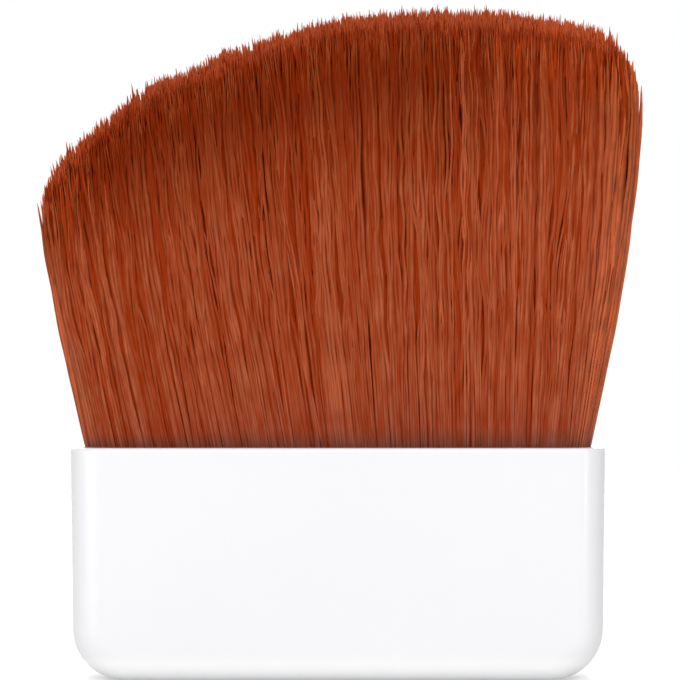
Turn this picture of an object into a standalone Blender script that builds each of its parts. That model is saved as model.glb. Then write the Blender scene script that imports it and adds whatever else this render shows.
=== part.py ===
"""Makeup brush: a wide flat moulded handle and a slanted, domed tuft of synthetic bristles.

Run it with blender --background --python part.py, or from Blender's text editor.
Units are metres and +Z is up. The brush stands on its foot, the flat underside of the handle, whose
centre is the origin. The front faces -Y, and +X is to the right of someone who looks at the front.
"""

import math
import random

import bmesh
import bpy
from mathutils import Matrix

# Handle: outside sizes
HANDLE_WIDTH = 0.0420
HANDLE_DEPTH = 0.0090
HANDLE_HEIGHT = 0.0183
# Each side steps in by this much from the mouth down to the foot
HANDLE_DRAFT = 0.00015
FOOT_CORNER_RADIUS = 0.0041
EDGE_RADIUS = 0.0022
RIM_RADIUS = 0.0003

# Handle: pocket for the ferrule, its ledge, and the cored-out cells under the ledge
SIDE_WALL = 0.0010
FACE_WALL = 0.0011
LEDGE_WIDTH = 0.0009
FLOOR_THICKNESS = 0.0018
RIB_THICKNESS = 0.0009
RIB_COUNT = 3

# Clearance between a piece and its neighbour, and how far a cut runs past the face it opens
FIT_GAP = 0.0003
CUT_OVERRUN = 0.0010

# Bead of adhesive on the ledge, under the ferrule
BEAD_RADIUS = 0.0004

# Ferrule: flattened tube with one crimp that keys the resin, and how far its upper end lies below the mouth
FERRULE_HEIGHT = 0.0082
FERRULE_RECESS = 0.0020
FERRULE_WALL = 0.00035
CRIMP_DEPTH = 0.0003
CRIMP_HALF_HEIGHT = 0.0007
CRIMP_CENTRE_HEIGHT = 0.0026

# Root resin: the cast block, and above it the slice that the bristles are fused to
SLICE_THICKNESS = 0.0015
RESIN_RECESS = 0.0004
ROOT_DEPTH = 0.0005
ROOT_MARGIN = 0.00015

# Tuft: how much it widens to each side and to the front and back, and how far above the mouth it is widest
LEFT_FLARE = 0.00374
LEFT_FLARE_RISE = 0.0217
RIGHT_FLARE = 0.00435
RIGHT_FLARE_RISE = 0.0317
DEPTH_FLARE = 0.0021
DEPTH_FLARE_RISE = 0.0167

# Tips, above the mouth: mean rise of the outermost tips left and right, how much the right ones are above
# that, the rise of the crown between them, and the drop from the crown to the front and back
SIDE_TIP_RISE = 0.02305
TIP_SLANT = 0.00425
CROWN_RISE = 0.0107
FACE_DROP = 0.0090

# Strands: rows, spacing along a row at the roots, and the shoulder's share of the way from mouth to tip
ROW_COUNT = 9
STRAND_PITCH = 0.00090
SHOULDER_SHARE = 0.66
STRAND_SIDES = 3
STRAND_TURN = math.radians(137.5)

# How much of the spacing a strand fills at each level
ROOT_FILL_SHARE = 0.50
MOUTH_FILL_SHARE = 0.64
SHOULDER_FILL_SHARE = 0.75
TIP_FILL_SHARE = 0.30

# How far a strand may stray from its place, as a share of the spacing, and its tip from the crown
PLACE_SCATTER_SHARE = 0.07
TIP_SCATTER = 0.0004
SCATTER_SEED = 7

# Steps of a quarter turn in round corners
CORNER_STEPS = 8
EDGE_STEPS = 6
RIM_STEPS = 2
STADIUM_STEPS = 6
BEAD_RESOLUTION = 2

# Limits for tidying and shading meshes
WELD_DISTANCE = 0.000001
FLAT_ANGLE = math.radians(1)
RIM_ANGLE = math.radians(60)
SHARP_ANGLE = math.radians(35)

# Sizes that follow from those above
HALF_STRAIGHT = HANDLE_WIDTH / 2 - SIDE_WALL - (HANDLE_DEPTH / 2 - FACE_WALL)
POCKET_RADIUS = HANDLE_DEPTH / 2 - FACE_WALL
CORE_RADIUS = POCKET_RADIUS - LEDGE_WIDTH
FERRULE_RADIUS = POCKET_RADIUS - FIT_GAP
RESIN_RADIUS = FERRULE_RADIUS - FERRULE_WALL - FIT_GAP
FERRULE_FOOT = HANDLE_HEIGHT - FERRULE_RECESS - FERRULE_HEIGHT
BEAD_HEIGHT = FERRULE_FOOT - FIT_GAP - BEAD_RADIUS
LEDGE_HEIGHT = BEAD_HEIGHT - BEAD_RADIUS - FIT_GAP
SLICE_TOP = FERRULE_FOOT + FERRULE_HEIGHT - RESIN_RECESS
SLICE_FOOT = SLICE_TOP - SLICE_THICKNESS
RESIN_HEIGHT = SLICE_FOOT - FIT_GAP - FERRULE_FOOT
ROOT_REACH = RESIN_RADIUS - ROOT_MARGIN
ROOT_SIDE = HALF_STRAIGHT + ROOT_REACH
MOUTH_REACH = POCKET_RADIUS - FIT_GAP
MOUTH_SIDE = HALF_STRAIGHT + MOUTH_REACH

# Colour, roughness and metallic value of each material
GLOSS_WHITE = ((0.91, 0.91, 0.93, 1), 0.12, 0)
PALE_GLUE = ((0.78, 0.74, 0.62, 1), 0.35, 0)
ALUMINIUM = ((0.80, 0.81, 0.83, 1), 0.28, 1)
AMBER_RESIN = ((0.42, 0.24, 0.08, 1), 0.25, 0)
AUBURN = ((0.31, 0.055, 0.02, 1), 0.45, 0)


def clear_scene():
    """Remove the objects that the scene starts with."""
    for old in list(bpy.data.objects):
        bpy.data.objects.remove(old)


def new_collection(name):
    """Make a collection and link it into the scene."""
    collection = bpy.data.collections.new(name)
    bpy.context.scene.collection.children.link(collection)
    return collection


def principled(name, look):
    """Make a Principled material from its colour, roughness and metallic value."""
    colour, roughness, metallic = look
    material = bpy.data.materials.new(name)
    material.use_nodes = True
    shader = material.node_tree.nodes["Principled BSDF"]
    shader.inputs["Base Color"].default_value = colour
    shader.inputs["Roughness"].default_value = roughness
    shader.inputs["Metallic"].default_value = metallic
    return material


def new_object(name, mesh, collection):
    """Link an object with this mesh into a collection."""
    piece = bpy.data.objects.new(name, mesh)
    collection.objects.link(piece)
    return piece


def mesh_from_bmesh(name, work):
    """Turn a bmesh into a mesh with its faces pointing out."""
    bmesh.ops.recalc_face_normals(work, faces=work.faces)
    mesh = bpy.data.meshes.new(name)
    work.to_mesh(mesh)
    work.free()
    return mesh


def mesh_from_curve(name, curve):
    """Turn a curve into a welded mesh whose flat faces are whole, and remove the curve."""
    source = new_object(name + "_curve", curve, bpy.context.scene.collection)
    depsgraph = bpy.context.evaluated_depsgraph_get()
    mesh = bpy.data.meshes.new_from_object(source.evaluated_get(depsgraph))
    bpy.data.objects.remove(source)
    work = bmesh.new()
    work.from_mesh(mesh)
    bpy.data.meshes.remove(mesh)
    bmesh.ops.remove_doubles(work, verts=work.verts, dist=WELD_DISTANCE)
    bmesh.ops.dissolve_limit(work, angle_limit=FLAT_ANGLE, verts=work.verts, edges=work.edges)
    return mesh_from_bmesh(name, work)


def add_spline(curve, points):
    """Add a closed straight-sided spline through points in the curve's own plane."""
    spline = curve.splines.new("POLY")
    spline.points.add(len(points) - 1)
    for target, (x, y) in zip(spline.points, points):
        target.co = (x, y, 0, 1)
    spline.use_cyclic_u = True


def prism_mesh(name, outline, height):
    """Make a flat outline into a prism whose middle lies in its own XY plane."""
    curve = bpy.data.curves.new(name, "CURVE")
    curve.dimensions = "2D"
    curve.fill_mode = "BOTH"
    curve.extrude = height / 2
    add_spline(curve, outline)
    return mesh_from_curve(name, curve)


def arc(centre, radius, start, end, steps):
    """Points along an arc, both ends included."""
    points = []
    for step in range(steps + 1):
        angle = start + (end - start) * step / steps
        points.append((centre[0] + radius * math.cos(angle), centre[1] + radius * math.sin(angle)))
    return points


def stadium(radius):
    """Outline of a slot with round ends. All slots in the brush share the length of their straight part."""
    half_turn = math.pi / 2
    right = arc((HALF_STRAIGHT, 0), radius, -half_turn, half_turn, 2 * STADIUM_STEPS)
    left = arc((-HALF_STRAIGHT, 0), radius, half_turn, 3 * half_turn, 2 * STADIUM_STEPS)
    return right + left


def loft_mesh(name, levels, capped):
    """Skin slots of the given (radius, height) levels, listed from the bottom up."""
    work = bmesh.new()
    loops = []
    for radius, height in levels:
        loops.append([work.verts.new((x, y, height)) for x, y in stadium(radius)])
    for lower, upper in zip(loops, loops[1:]):
        for index in range(len(lower)):
            after = (index + 1) % len(lower)
            work.faces.new((lower[index], lower[after], upper[after], upper[index]))
    if capped:
        work.faces.new(list(reversed(loops[0])))
        work.faces.new(loops[-1])
        return mesh_from_bmesh(name, work)
    mesh = bpy.data.meshes.new(name)
    work.to_mesh(mesh)
    work.free()
    return mesh


def finish_piece(piece, material, root):
    """Give a piece its material, smooth its round faces and parent it."""
    piece.data.materials.append(material)
    piece.data.shade_smooth()
    piece.data.set_sharp_from_angle(angle=SHARP_ANGLE)
    piece.parent = root


def add_cutter(name, mesh, cutters):
    """Link a mesh as a cutter, which no render shows."""
    cutter = new_object(name, mesh, cutters)
    cutter.hide_render = True
    cutter.display_type = "WIRE"
    return cutter


def add_boolean(piece, operation, other):
    """Cut a piece by another mesh, or join them."""
    boolean = piece.modifiers.new(other.name, "BOOLEAN")
    boolean.operation = operation
    boolean.solver = "EXACT"
    boolean.object = other


def handle_outline():
    """Front outline of the handle, from the mouth's right corner round the foot to its left corner."""
    half_mouth = HANDLE_WIDTH / 2
    corner_x = half_mouth - HANDLE_DRAFT - FOOT_CORNER_RADIUS
    quarter = math.pi / 2
    right = arc((corner_x, FOOT_CORNER_RADIUS), FOOT_CORNER_RADIUS, 0, -quarter, CORNER_STEPS)
    left = arc((-corner_x, FOOT_CORNER_RADIUS), FOOT_CORNER_RADIUS, -quarter, -2 * quarter, CORNER_STEPS)
    return [(half_mouth, HANDLE_HEIGHT)] + right + left + [(-half_mouth, HANDLE_HEIGHT)]


def mark_face_edges(mesh):
    """Weight the edges round the broad faces, apart from those along the mouth."""
    work = bmesh.new()
    work.from_mesh(mesh)
    weights = work.edges.layers.float.new("bevel_weight_edge")
    for edge in work.edges:
        first, second = edge.verts
        on_one_face = first.co.z * second.co.z > 0
        at_mouth = min(first.co.y, second.co.y) > HANDLE_HEIGHT - RIM_RADIUS
        if on_one_face and not at_mouth:
            edge[weights] = 1
    work.to_mesh(mesh)
    work.free()


def core_cutter(cutters):
    """Cutter for the cells under the ledge: one slot, less the ribs that cross it."""
    depth = LEDGE_HEIGHT - FLOOR_THICKNESS + CUT_OVERRUN
    core = add_cutter("core_cutter", prism_mesh("core_cutter", stadium(CORE_RADIUS), depth), cutters)
    core.location = (0, 0, FLOOR_THICKNESS + depth / 2)
    rib_depth = 2 * (CORE_RADIUS + CUT_OVERRUN)
    rib_height = depth + 2 * CUT_OVERRUN
    rib_spacing = 2 * (HALF_STRAIGHT + CORE_RADIUS) / (RIB_COUNT + 1)
    work = bmesh.new()
    bmesh.ops.create_cube(work, size=1, matrix=Matrix.Diagonal((RIB_THICKNESS, rib_depth, rib_height, 1)))
    ribs = add_cutter("rib_guide", mesh_from_bmesh("rib_guide", work), cutters)
    ribs.location = (-rib_spacing * (RIB_COUNT - 1) / 2, 0, FLOOR_THICKNESS + depth / 2)
    row = ribs.modifiers.new("row", "ARRAY")
    row.count = RIB_COUNT
    row.use_relative_offset = False
    row.use_constant_offset = True
    row.constant_offset_displace = (rib_spacing, 0, 0)
    add_boolean(core, "DIFFERENCE", ribs)
    return core


def make_handle_shell(parts, cutters, root):
    """Moulded handle, with its origin at the centre of its foot."""
    mesh = prism_mesh("handle_shell", handle_outline(), HANDLE_DEPTH)
    mark_face_edges(mesh)
    handle = new_object("handle_shell", mesh, parts)
    handle.rotation_euler = (math.pi / 2, 0, 0)
    edges = handle.modifiers.new("face_edges", "BEVEL")
    edges.limit_method = "WEIGHT"
    edges.width = EDGE_RADIUS
    edges.segments = EDGE_STEPS
    edges.use_clamp_overlap = False
    rim = handle.modifiers.new("mouth_rim", "BEVEL")
    rim.limit_method = "ANGLE"
    rim.angle_limit = RIM_ANGLE
    rim.width = RIM_RADIUS
    rim.segments = RIM_STEPS
    pocket_depth = HANDLE_HEIGHT - LEDGE_HEIGHT + CUT_OVERRUN
    pocket_mesh = prism_mesh("pocket_cutter", stadium(POCKET_RADIUS), pocket_depth)
    pocket = add_cutter("pocket_cutter", pocket_mesh, cutters)
    pocket.location = (0, 0, LEDGE_HEIGHT + pocket_depth / 2)
    add_boolean(handle, "DIFFERENCE", pocket)
    add_boolean(handle, "DIFFERENCE", core_cutter(cutters))
    finish_piece(handle, principled("gloss_white_plastic", GLOSS_WHITE), root)


def make_adhesive_bead(parts, root):
    """Round bead along the ledge, just clear of the pocket's wall and under the ferrule's end."""
    curve = bpy.data.curves.new("adhesive_bead", "CURVE")
    curve.dimensions = "3D"
    curve.bevel_depth = BEAD_RADIUS
    curve.bevel_resolution = BEAD_RESOLUTION
    add_spline(curve, stadium(POCKET_RADIUS - FIT_GAP - BEAD_RADIUS))
    bead = new_object("adhesive_bead", mesh_from_curve("adhesive_bead", curve), parts)
    bead.location = (0, 0, BEAD_HEIGHT)
    finish_piece(bead, principled("pale_adhesive", PALE_GLUE), root)


def crimped_levels(radius, height):
    """Levels of a crimped slot above the ferrule's foot."""
    return [
        (radius, 0),
        (radius, CRIMP_CENTRE_HEIGHT - CRIMP_HALF_HEIGHT),
        (radius - CRIMP_DEPTH, CRIMP_CENTRE_HEIGHT),
        (radius, CRIMP_CENTRE_HEIGHT + CRIMP_HALF_HEIGHT),
        (radius, height),
    ]


def make_tuft_ferrule(parts, root):
    """Flattened, crimped tube, with its origin at the centre of its lower end."""
    mesh = loft_mesh("tuft_ferrule", crimped_levels(FERRULE_RADIUS, FERRULE_HEIGHT), False)
    ferrule = new_object("tuft_ferrule", mesh, parts)
    ferrule.location = (0, 0, FERRULE_FOOT)
    wall = ferrule.modifiers.new("wall", "SOLIDIFY")
    wall.thickness = FERRULE_WALL
    wall.offset = -1
    wall.use_even_offset = True
    finish_piece(ferrule, principled("drawn_aluminium", ALUMINIUM), root)


def make_root_resin(parts, root):
    """Cast block inside the ferrule, with its origin at the centre of its underside."""
    mesh = loft_mesh("root_resin", crimped_levels(RESIN_RADIUS, RESIN_HEIGHT), True)
    resin = new_object("root_resin", mesh, parts)
    resin.location = (0, 0, FERRULE_FOOT)
    finish_piece(resin, principled("amber_resin", AMBER_RESIN), root)


def flare(rise, widest_rise, widening):
    """How much the tuft has widened at a rise above the mouth."""
    share = min(rise / widest_rise, 1)
    return widening * math.sin(share * math.pi / 2)


def tip_rise(across, through):
    """Rise of a tip above the mouth. Both places run from -1 to 1: across the tuft, and through it."""
    crown = CROWN_RISE * math.sqrt(1 - across ** 2)
    drop = FACE_DROP * (1 - math.sqrt(1 - through ** 2))
    return SIDE_TIP_RISE + TIP_SLANT * across + crown - drop


def strand_radius(half_width, depth, fill_share):
    """Radius of strands that fill this share of their spacing in a section."""
    column_pitch = STRAND_PITCH * half_width / ROOT_SIDE
    row_pitch = 2 * depth / (ROW_COUNT - 1)
    return fill_share * min(column_pitch, math.hypot(column_pitch / 2, row_pitch)) / 2


def strand_rings(across, through, stray):
    """Place, height and radius of a strand at its root, at the mouth, at its shoulder and at its tip."""
    levels = [
        (SLICE_TOP - ROOT_DEPTH, ROOT_SIDE, ROOT_SIDE, ROOT_REACH, ROOT_FILL_SHARE),
        (HANDLE_HEIGHT, MOUTH_SIDE, MOUTH_SIDE, MOUTH_REACH, MOUTH_FILL_SHARE),
    ]
    tip = tip_rise(across, through) + stray
    for rise, fill_share in ((tip * SHOULDER_SHARE, SHOULDER_FILL_SHARE), (tip, TIP_FILL_SHARE)):
        left = MOUTH_SIDE + flare(rise, LEFT_FLARE_RISE, LEFT_FLARE)
        right = MOUTH_SIDE + flare(rise, RIGHT_FLARE_RISE, RIGHT_FLARE)
        depth = MOUTH_REACH + flare(rise, DEPTH_FLARE_RISE, DEPTH_FLARE)
        levels.append((HANDLE_HEIGHT + rise, left, right, depth, fill_share))
    rings = []
    for height, left, right, depth, fill_share in levels:
        half_width = (right + left) / 2
        radius = strand_radius(half_width, depth, fill_share)
        x = (right - left) / 2 + across * (half_width - radius)
        y = through * (depth - radius)
        rings.append((x, y, height, radius))
    return rings


def strand_places():
    """Places of the strands at the roots, each -1 to 1 across and through: staggered rows that fill a slot."""
    scatter = random.Random(SCATTER_SEED)
    reach = ROOT_REACH - strand_radius(ROOT_SIDE, ROOT_REACH, ROOT_FILL_SHARE)
    row_pitch = 2 * reach / (ROW_COUNT - 1)
    places = []
    for row in range(ROW_COUNT):
        y = (row - (ROW_COUNT - 1) / 2) * row_pitch
        row_reach = HALF_STRAIGHT + math.sqrt(max(reach ** 2 - y ** 2, 0))
        gaps = round(2 * row_reach / STRAND_PITCH)
        pitch = 2 * row_reach / gaps
        count = gaps + 1 - row % 2
        for column in range(count):
            stray_x = scatter.uniform(-PLACE_SCATTER_SHARE, PLACE_SCATTER_SHARE) * pitch
            stray_y = scatter.uniform(-PLACE_SCATTER_SHARE, PLACE_SCATTER_SHARE) * row_pitch
            across = ((column - (count - 1) / 2) * pitch + stray_x) / (HALF_STRAIGHT + reach)
            through = (y + stray_y) / reach
            places.append((min(max(across, -1), 1), min(max(through, -1), 1)))
    return places


def strands_mesh(name, foot):
    """All strands as separate closed tubes, with heights counted from foot."""
    scatter = random.Random(SCATTER_SEED)
    work = bmesh.new()
    for index, (across, through) in enumerate(strand_places()):
        stray = scatter.uniform(-TIP_SCATTER, TIP_SCATTER)
        loops = []
        for x, y, height, radius in strand_rings(across, through, stray):
            loop = []
            for side in range(STRAND_SIDES):
                angle = index * STRAND_TURN + side * 2 * math.pi / STRAND_SIDES
                corner = (x + radius * math.cos(angle), y + radius * math.sin(angle), height - foot)
                loop.append(work.verts.new(corner))
            loops.append(loop)
        work.faces.new(list(reversed(loops[0])))
        work.faces.new(loops[-1])
        for lower, upper in zip(loops, loops[1:]):
            for side in range(STRAND_SIDES):
                after = (side + 1) % STRAND_SIDES
                work.faces.new((lower[side], lower[after], upper[after], upper[side]))
    return mesh_from_bmesh(name, work)


def make_bristle_tuft(parts, cutters, root):
    """Strands fused to their slice of resin, with its origin at the centre of the slice."""
    centre = SLICE_FOOT + SLICE_THICKNESS / 2
    slice_mesh = prism_mesh("bristle_tuft", stadium(RESIN_RADIUS), SLICE_THICKNESS)
    tuft = new_object("bristle_tuft", slice_mesh, parts)
    tuft.location = (0, 0, centre)
    strands = add_cutter("strand_guide", strands_mesh("strand_guide", centre), cutters)
    strands.location = tuft.location
    add_boolean(tuft, "UNION", strands)
    finish_piece(tuft, principled("auburn_filament", AUBURN), root)


def build():
    """Model the brush."""
    clear_scene()
    parts = new_collection("makeup_brush")
    cutters = new_collection("cutters")
    root = new_object("brush_frame", None, parts)
    make_handle_shell(parts, cutters, root)
    make_adhesive_bead(parts, root)
    make_tuft_ferrule(parts, root)
    make_root_resin(parts, root)
    make_bristle_tuft(parts, cutters, root)
    print("strands:", len(strand_places()))


build()
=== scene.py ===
"""Makeup brush: gloss white moulded handle and a dense tuft of fine auburn filaments, in the studio.

Units are metres and +Z is up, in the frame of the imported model: the brush stands on its foot at the
origin and its front faces -Y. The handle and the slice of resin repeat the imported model's sizes. The
tuft has sizes of its own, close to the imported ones.
"""

import math

import bmesh
import bpy
import numpy as np
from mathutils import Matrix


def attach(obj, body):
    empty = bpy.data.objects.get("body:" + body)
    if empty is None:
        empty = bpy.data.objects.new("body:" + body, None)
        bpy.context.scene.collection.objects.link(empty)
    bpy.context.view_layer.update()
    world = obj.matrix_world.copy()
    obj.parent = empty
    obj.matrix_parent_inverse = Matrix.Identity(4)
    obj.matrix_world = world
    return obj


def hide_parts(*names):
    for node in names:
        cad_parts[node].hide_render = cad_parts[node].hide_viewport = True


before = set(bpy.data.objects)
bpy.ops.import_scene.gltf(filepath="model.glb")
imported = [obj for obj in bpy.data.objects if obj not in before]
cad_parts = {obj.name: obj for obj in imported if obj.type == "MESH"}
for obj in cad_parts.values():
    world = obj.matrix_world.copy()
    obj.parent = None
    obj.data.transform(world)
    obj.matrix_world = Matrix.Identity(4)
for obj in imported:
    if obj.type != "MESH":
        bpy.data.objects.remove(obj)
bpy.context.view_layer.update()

# Handle sizes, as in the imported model
HANDLE_WIDTH = 0.0420
HANDLE_DEPTH = 0.0090
HANDLE_HEIGHT = 0.0183
HANDLE_DRAFT = 0.00015
FOOT_CORNER_RADIUS = 0.0041
EDGE_RADIUS = 0.0022
RIM_RADIUS = 0.0003
SIDE_WALL = 0.0010
FACE_WALL = 0.0011
LEDGE_HEIGHT = 0.0067
LEDGE_WIDTH = 0.0009
FLOOR_THICKNESS = 0.0018
RIB_THICKNESS = 0.0009
RIB_COUNT = 3

# Finer detail of the handle: softened edge of the pocket, and the groove where the mould halves meet
POCKET_EDGE_RADIUS = 0.0001
GROOVE_WIDTH = 0.00008
GROOVE_DEPTH = 0.00002

# Slice of resin that the filaments stand in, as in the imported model, and its meniscus
SLICE_FOOT = 0.0144
SLICE_TOP = 0.0159
RESIN_RADIUS = 0.00245
MENISCUS = 0.0002

# Steps of the curves of the handle and the slice
END_STEPS = 10
SIDE_STEPS = 4
CORNER_STEPS = 14
RIM_STEPS = 5
POCKET_EDGE_STEPS = 3
CELL_END_STEPS = 12
SLICE_END_STEPS = 16

# Faces that meet at more than this angle keep a sharp edge between them
HANDLE_SHARP_ANGLE = math.radians(35)
SLICE_SHARP_ANGLE = math.radians(40)
# How much the larger faces set the normals, at most 100
NORMAL_WEIGHT = 100

# Tuft: how far it reaches at the roots and at the mouth, measured like the radius of a slot
ROOT_HEIGHT = 0.0157
ROOT_REACH = 0.00235
MOUTH_REACH = 0.00332
# How far its left side, its right side and its faces spread above the mouth, and over what rise
LEFT_BEND = 0.0016
LEFT_BEND_RISE = 0.0217
LEFT_SLOPE = 0.11
LEFT_TIP_REACH = 0.00358
RIGHT_FLARE = 0.00415
RIGHT_FLARE_RISE = 0.0317
DEPTH_FLARE = 0.0016
DEPTH_FLARE_RISE = 0.0167
# Outline of the tips above the mouth, how far the faces curve down from it, and the rounds that settle it
SIDE_TIP_RISE = 0.02320
TIP_SLANT = 0.00425
CROWN_RISE = 0.0107
FACE_DROP = 0.0090
CROWN_ROUNDS = 12
# Small lifts of that outline, at places from its left corner to its right one
TIP_LIFT_PLACES = (-1, -0.93, -0.83, -0.74, -0.65, -0.5, -0.42, -0.2, 0, 0.34, 0.65, 0.85, 0.93, 1)
TIP_LIFTS = (0.0001, -0.0009, -0.0009, -0.0006, -0.0002, -0.0005, -0.0004, -0.0003, 0.0000, -0.0003, -0.0002,
             0.0006, 0.0005, 0.0000)
# Lean to the left, in shares of the half width: where it starts to fade, on the left, and over what span.
# The filaments lean by the first share of the left side's spread, and by the second more at the corner
LEAN_START = 0.45
LEAN_SPAN = 1.1
LEAN_SHARE = 0.86
CORNER_LEAN_SHARE = 0.14
CORNER_LEAN_POWER = 4
# Share of the half width beyond which the right end spreads, and how sharply that sets in
SPREAD_START = 0.45
SPREAD_POWER = 3.2

POCKET_RADIUS = HANDLE_DEPTH / 2 - FACE_WALL
HALF_STRAIGHT = HANDLE_WIDTH / 2 - SIDE_WALL - POCKET_RADIUS
CORE_RADIUS = POCKET_RADIUS - LEDGE_WIDTH
ROOT_SIDE = HALF_STRAIGHT + ROOT_REACH
MOUTH_SIDE = HALF_STRAIGHT + MOUTH_REACH

# Where the filaments, their clumps and their locks stand. The jitters are shares of the pitch
FILAMENT_SEED = 11
FILAMENT_PITCH = 0.000145
FILAMENT_JITTER = 0.35
CLUMP_PITCH = 0.00034
LOCK_PITCH = 0.0022
GROUP_JITTER = 0.4
SEARCH_BLOCK = 512
# How far filaments are moved from the middle of the tuft towards its faces
SURFACE_CROWDING = 0.28
# Filaments beyond this share of the reach are at the surface
SURFACE_EDGE = 0.80

# Rings of a filament, at shares of its length: at the mouth, evenly spaced up to a share, and the last ones
FILAMENT_SIDES = 3
OUTER_STEPS = 28
CORE_STEPS = 5
MOUTH_SHARE = 0.10
EVEN_RINGS_END = 0.90
LAST_RINGS = (0.95, 0.98, 1)

# Radius of a filament, how much it varies, and its taper towards the tip
FILAMENT_RADIUS = 0.000160
RADIUS_SPREAD = (0.85, 1.15)
TAPER_LENGTH = 0.0060
TAPER_PLACES = (0, 0.10, 0.5, 1)
TAPER_RADII = (0.10, 0.48, 0.80, 1)
# Filaments are thinner at the mouth than above this rise
MOUTH_FULLNESS = 0.82
RISE_FULLNESS = 0.18
FULL_RISE = 0.010
# Inner filaments are fatter by this much of the radius, up to an edge from which it fades. It sets in below
# a thin tip, over a length that grows from the crown to the faces
INNER_FATNESS = 1.5
FATNESS_EDGE = 0.83
FATNESS_SPAN = 0.14
THIN_TIP = 0.0007
CROWN_THICKENING = 0.0018
SIDE_THICKENING = 0.0022
SIDE_THICKENING_SPAN = 0.5
# Filaments widen where they fan out, up to a limit
FAN_STEP = 0.01
WIDEST_FAN = 2.4
FAN_POWER = 0.8
FAN_TAPER = 0.0035

# How far clumps and locks draw their filaments together
CLUMP_PULL = 0.12
LOCK_PULL = 0.04
# Leans reach their size at this rise, and the turns of the waves are counted over it
LEAN_RISE = 0.030
CLUMP_LEAN = 0.00034
LOCK_LEAN = 0.00022
OWN_LEAN = 0.00028
# Pairs are across the tuft and through it. Outward leans are held back by a share, which grows from a
# start over a span, both as shares of the reach
LEAN_SHARES = np.array([[1.0, 0.35]])
HOLD_SHARES = np.array([[0.90, 0.80]])
HOLD_STARTS = np.array([[0.20, 0.70]])
HOLD_SPANS = np.array([[0.80, 0.30]])
# Pulls, waves and fatness grow from nothing at the mouth up to this rise. Waves are smaller where leans
# are held back
FREE_RISE = 0.012
HELD_WAVE = 0.3
FREE_WAVE = 0.7
SWING_SHARES = np.array([[1.0, 0.6]])
CLUMP_SWING = 0.00011
CLUMP_TURNS = (1.2, 2.6)
OWN_SWING = 0.00005
OWN_TURNS = (1.0, 2.4)
RIPPLE_SHARES = np.array([[1.0, 0.7]])
RIPPLE = 0.00010
LEAST_RIPPLE = 0.3
RIPPLE_TURNS = (3.5, 6.5)

# Strays at the surface, and how unevenly the tips end
STRAY_SHARE = 0.015
LEAST_STRAY = 0.3
STRAY_REACHES = np.array([[0.00015, 0.0002]])
STRAY_TIP = 0.0004
CLUMP_TIP = 0.00010
OWN_TIP = 0.00014
TIP_TAIL = 0.00013
TIP_TAIL_LIMIT = 0.00050
SURFACE_TIP = 0.0018

# Shade of a filament, from 0 to 1: its middle, how much it varies, and its lightest
MIDDLE_SHADE = 0.5
OWN_SHADE = 0.03
CLUMP_SHADE = 0.17
LOCK_SHADE = 0.03
LIGHTEST_SHADE = 0.80
# Lighter and darker locks: place as a share of the half width, spread and change of shade
LOCK_TONES = ((-0.70, 0.20, -0.08), (-0.20, 0.13, 0.15), (0.62, 0.15, -0.05))
# The right side is lighter. Starts and spans from here on are shares of the half width, or of the reach
RIGHT_SHADE = 0.08
RIGHT_SHADE_START = 0.35
RIGHT_SHADE_SPAN = 0.45
# Painted light along both borders: their filaments are lighter, by an amount drawn for each of them, up to a
# limit
BORDER_START = 0.91
BORDER_SPAN = 0.085
LEFT_BORDER_PAINTED_LIGHT = 0.75
RIGHT_BORDER_PAINTED_LIGHT = 0.80
LEAST_LIT = 0.45
LIT_RANGE = 0.65
BORDER_LIGHTEST = 0.855
LIT_LIGHTER = 0.07
OUTERMOST_LIGHTER = 0.07
OUTERMOST_START = 0.955
OUTERMOST_SPAN = 0.04
# Filaments that take only a little painted shade below their tips
EVEN_START = 0.38
EVEN_SPAN = 0.55
LEFT_EVEN_START = 0.72
LEFT_EVEN_SHARE = 0.80
# Inside this edge more and more filaments are a deep red of painted shade, and inside the next one their
# tips carry painted light
DEEP_EDGE = 0.955
DEEP_SPAN = 0.06
LIGHT_TIP_EDGE = 0.70

# Columns of the filaments' UV map: a shade each for those with painted shade below their tips, then again
# for the even ones. The first two of each half are the deep red ones of painted shade, with painted light at
# the tips and without
SHADE_COLUMNS = 64
COLUMNS = 2 * SHADE_COLUMNS
DEEP_COLUMNS = 2
# Parts of a column's width and of the map's height that a filament fills, clear of the borders
COLUMN_MARGIN = 0.15
COLUMN_FILL = 0.7
LENGTH_MARGIN = 0.005
LENGTH_FILL = 0.99

# Painted light and shade that wander along a filament: how much, how quickly from column to column and
# along, the shade above which it adds nothing, and where it calms down
WANDER = 1.4
WANDER_ACROSS = 0.4
WANDER_ALONG = 16
WANDER_LIGHTEST = 0.84
CALM_SHADE = 1.05
CALM_SLOPE = 3
# Place along a filament beyond which the tips of the crown carry painted light
LIGHT_TIP_START = 0.95

# Painted light: the handle turns paler from the first height above the floor down to the second, for light
# from the floor on its rounded lower edge
FOOT_PAINTED_LIGHT_START = 0.0024
FOOT_PAINTED_LIGHT_END = 0.0012

# Studio: light of the world on the object, and the floor with the glow that rays to the backdrop see
AMBIENT = 0.18
FLOOR_GLOW = 0.45
FLOOR_RADIUS = 0.6
FLOOR_SIDES = 64
FLOOR_FADE_START = 0.12
FLOOR_FADE_END = 0.50
FLOOR_COLOUR = (0.80, 0.80, 0.80, 1)
WHITE = (1, 1, 1, 1)
# Lamps aim at a point at this height, from this distance
LAMP_AIM_HEIGHT = 0.025
LAMP_DISTANCE = 1.5
# Name, azimuth and elevation in degrees, width, height and power
LAMPS = (
    ("front", 0, 24, 0.4, 0.4, 9.4),
    ("left", -34, 3, 1.3, 0.3, 4.8),
    ("right", 36, 2, 0.09, 0.3, 1.5),
    ("top", 0, 88, 1.2, 1.2, 11.0),
    ("back", 180, 25, 0.8, 0.8, 11.5),
    ("back_left", -150, 30, 0.8, 0.8, 0.7),
)


# Meshes

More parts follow.
